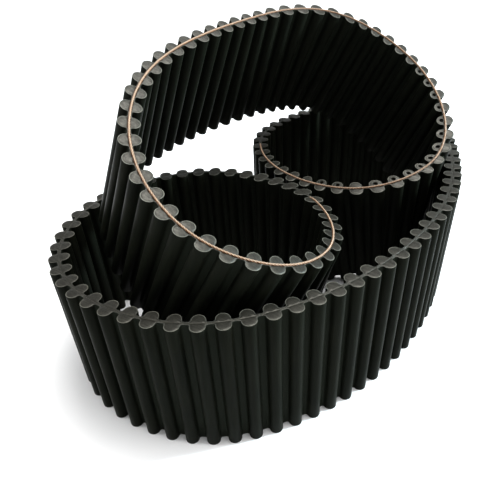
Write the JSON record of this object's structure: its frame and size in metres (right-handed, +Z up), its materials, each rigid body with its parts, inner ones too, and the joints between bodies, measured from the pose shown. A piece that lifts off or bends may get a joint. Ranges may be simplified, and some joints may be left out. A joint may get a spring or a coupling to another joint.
{
  "type": "timing belt",
  "caption": "Endless double-sided timing belt with round teeth, standing on its edge and wound into three turns, for synchronous drives.",
  "frame": {"origin": "on the floor, under the middle of the belt's box", "axes": "+Z up across the band's width, +X to the right and +Y to the back as the belt lies, with the lifted turn high at the back left"},
  "size_m": [0.1916, 0.1978, 0.125],
  "materials": {
    "rubber": "matt moulded black rubber, chalky grey where it is cut",
    "fabric_facing": "tight woven nylon, black, with a faint sheen",
    "tensile_cord": "twisted glass-fibre cord, copper-coloured"
  },
  "bodies": {
    "root": {"rubber_body_01": "rubber", "rubber_body_02": "rubber", "rubber_body_03": "rubber", "rubber_body_04": "rubber", "rubber_body_05": "rubber", "rubber_body_06": "rubber", "rubber_body_07": "rubber", "rubber_body_08": "rubber", "rubber_body_09": "rubber", "rubber_body_10": "rubber", "rubber_body_11": "rubber", "rubber_body_12": "rubber", "rubber_body_13": "rubber", "rubber_body_14": "rubber", "rubber_body_15": "rubber", "rubber_body_16": "rubber", "rubber_body_17": "rubber", "rubber_body_18": "rubber", "rubber_body_19": "rubber", "rubber_body_20": "rubber", "rubber_body_21": "rubber", "rubber_body_22": "rubber", "rubber_body_23": "rubber", "rubber_body_24": "rubber", "rubber_body_25": "rubber", "rubber_body_26": "rubber", "rubber_body_27": "rubber", "rubber_body_28": "rubber", "outer_fabric_facing": "fabric_facing", "inner_fabric_facing": "fabric_facing", "bare_tensile_cord": "tensile_cord"}
  },
  "joints": []
}
